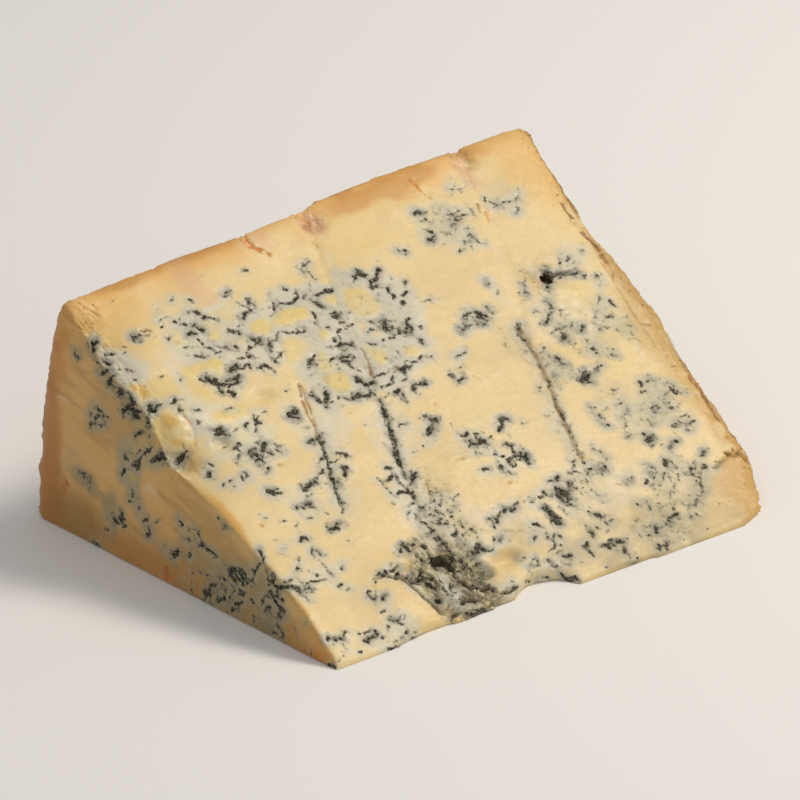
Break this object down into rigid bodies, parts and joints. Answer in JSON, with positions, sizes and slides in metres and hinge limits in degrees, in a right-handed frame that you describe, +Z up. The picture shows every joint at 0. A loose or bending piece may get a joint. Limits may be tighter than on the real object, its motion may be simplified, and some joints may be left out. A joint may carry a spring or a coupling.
{
  "type": "blue cheese wedge",
  "caption": "Wedge cut from a small wheel of blue-veined cheese, lying on one cut face, with crust on its outer sides.",
  "frame": {"origin": "middle of the wedge's footprint, on the surface it rests on", "axes": "+X along the wheel's axis, from the plain cut end to the crusted end; +Y from the thin tip line to the rind; +Z up"},
  "size_m": [0.1361, 0.1057, 0.0599],
  "materials": {
    "cheese": null
  },
  "bodies": {
    "root": {"cheese_wedge": "cheese"}
  },
  "joints": []
}
